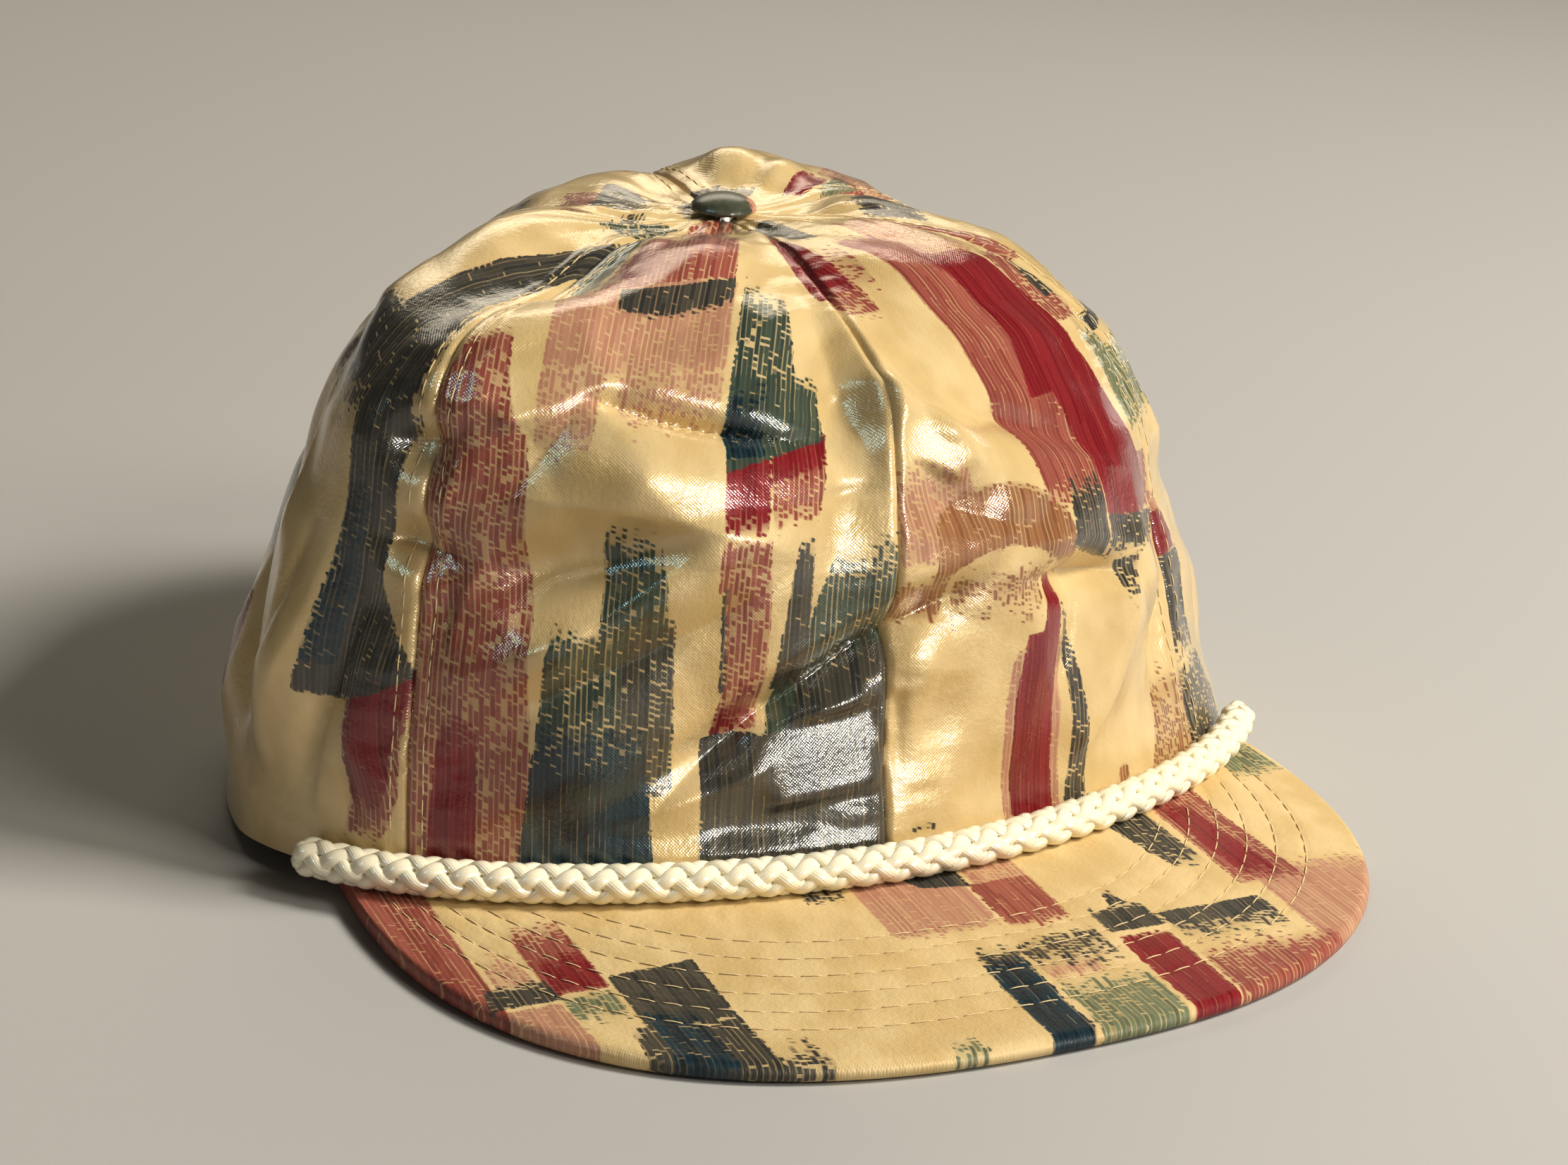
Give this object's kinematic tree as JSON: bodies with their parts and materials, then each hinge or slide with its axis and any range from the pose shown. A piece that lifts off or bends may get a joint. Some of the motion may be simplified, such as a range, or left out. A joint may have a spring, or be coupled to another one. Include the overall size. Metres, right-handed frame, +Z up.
{
  "type": "cloth cap with rope trim",
  "caption": "Soft crowned cloth cap with a flat rounded brim, a braided rope along the brim seam and a covered top button, lying by itself on a flat surface.",
  "frame": {"origin": "centre of the bounding box on the surface that the cap rests on", "axes": "+Z up, -Y towards the front edge of the brim, +X towards the wearer's left"},
  "size_m": [0.206, 0.23, 0.1129],
  "materials": {
    "printed_cloth": "glazed cotton with a printed brush-stroke pattern, satin to glossy",
    "brim_cloth": "printed cotton wrapped over a stiff board, with stitched rows",
    "rope_cord": "glossy braided cord",
    "button_cloth": "cloth covered, satin"
  },
  "bodies": {
    "root": {"panel_front_right": "printed_cloth", "panel_front_left": "printed_cloth", "panel_side_right": "printed_cloth", "panel_side_left": "printed_cloth", "panel_back_right": "printed_cloth", "panel_back_left": "printed_cloth", "brim": "brim_cloth", "rope_braid": "rope_cord", "button": "button_cloth"}
  },
  "joints": []
}
